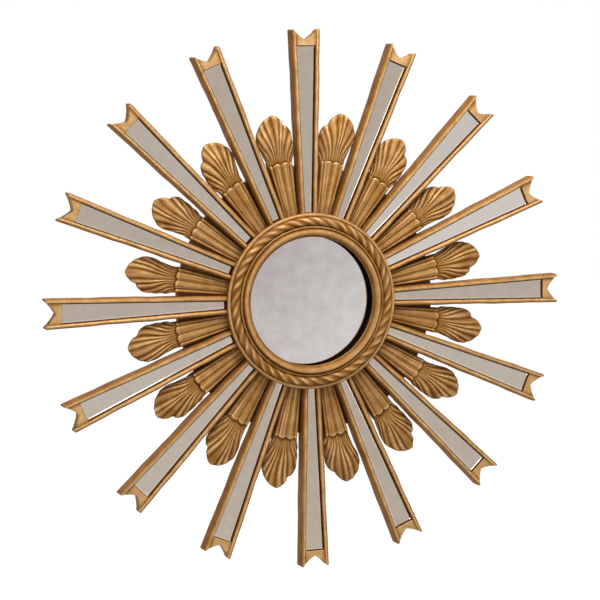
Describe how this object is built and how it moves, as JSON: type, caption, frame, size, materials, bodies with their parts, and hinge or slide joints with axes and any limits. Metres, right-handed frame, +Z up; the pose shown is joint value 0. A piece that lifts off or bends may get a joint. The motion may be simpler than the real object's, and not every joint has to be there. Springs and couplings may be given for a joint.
{
  "type": "starburst mirror",
  "caption": "Round wall mirror in a moulded ring with a rope twist, with tapered mirror-inlaid rays and carved leaf plumes between them, in aged gold.",
  "frame": {"origin": "the star's centre on the wall plane, where the rubber bumpers rest", "axes": "-Y out of the mirror's face, +Y into the wall, +Z up through the first ray, +X to the right as seen from the front"},
  "size_m": [1, 0.0615, 1],
  "materials": {
    "gilt_wood": "aged gold, satin",
    "gilt_casting": "aged gold, satin",
    "strip_mirror": "antiqued mirror",
    "round_mirror": "antiqued mirror",
    "hardboard": "bare hardboard",
    "dark_board": "dark stain, matt",
    "zinc_plated_steel": "zinc plated",
    "black_rubber": "matt"
  },
  "bodies": {
    "mirror": {"centre_frame": "gilt_wood", "centre_mirror": "round_mirror", "hanger_screws": "zinc_plated_steel", "hanger_straps": "zinc_plated_steel", "hub_board": "dark_board", "mirror_backing": "hardboard", "plume_01": "gilt_casting", "plume_02": "gilt_casting", "plume_03": "gilt_casting", "plume_04": "gilt_casting", "plume_05": "gilt_casting", "plume_06": "gilt_casting", "plume_07": "gilt_casting", "plume_08": "gilt_casting", "plume_09": "gilt_casting", "plume_10": "gilt_casting", "plume_11": "gilt_casting", "plume_12": "gilt_casting", "plume_13": "gilt_casting", "plume_14": "gilt_casting", "plume_15": "gilt_casting", "plume_16": "gilt_casting", "ray_frame_01": "gilt_wood", "ray_frame_02": "gilt_wood", "ray_frame_03": "gilt_wood", "ray_frame_04": "gilt_wood", "ray_frame_05": "gilt_wood", "ray_frame_06": "gilt_wood", "ray_frame_07": "gilt_wood", "ray_frame_08": "gilt_wood", "ray_frame_09": "gilt_wood", "ray_frame_10": "gilt_wood", "ray_frame_11": "gilt_wood", "ray_frame_12": "gilt_wood", "ray_frame_13": "gilt_wood", "ray_frame_14": "gilt_wood", "ray_frame_15": "gilt_wood", "ray_frame_16": "gilt_wood", "ray_mirror_01": "strip_mirror", "ray_mirror_02": "strip_mirror", "ray_mirror_03": "strip_mirror", "ray_mirror_04": "strip_mirror", "ray_mirror_05": "strip_mirror", "ray_mirror_06": "strip_mirror", "ray_mirror_07": "strip_mirror", "ray_mirror_08": "strip_mirror", "ray_mirror_09": "strip_mirror", "ray_mirror_10": "strip_mirror", "ray_mirror_11": "strip_mirror", "ray_mirror_12": "strip_mirror", "ray_mirror_13": "strip_mirror", "ray_mirror_14": "strip_mirror", "ray_mirror_15": "strip_mirror", "ray_mirror_16": "strip_mirror", "rope_moulding": "gilt_casting", "wall_bumpers": "black_rubber"},
    "left_ring": {"hanger_ring_left": "zinc_plated_steel"},
    "right_ring": {"hanger_ring_right": "zinc_plated_steel"}
  },
  "joints": [
    {"name": "left_ring_swing", "type": "hinge", "parent": "mirror", "child": "left_ring", "pos_m": [-0.14, -0.0036, 0.105], "axis": [1, 0, 0], "range_deg": [0, 172]},
    {"name": "right_ring_swing", "type": "hinge", "parent": "mirror", "child": "right_ring", "pos_m": [0.14, -0.0036, 0.105], "axis": [1, 0, 0], "range_deg": [0, 172]}
  ]
}
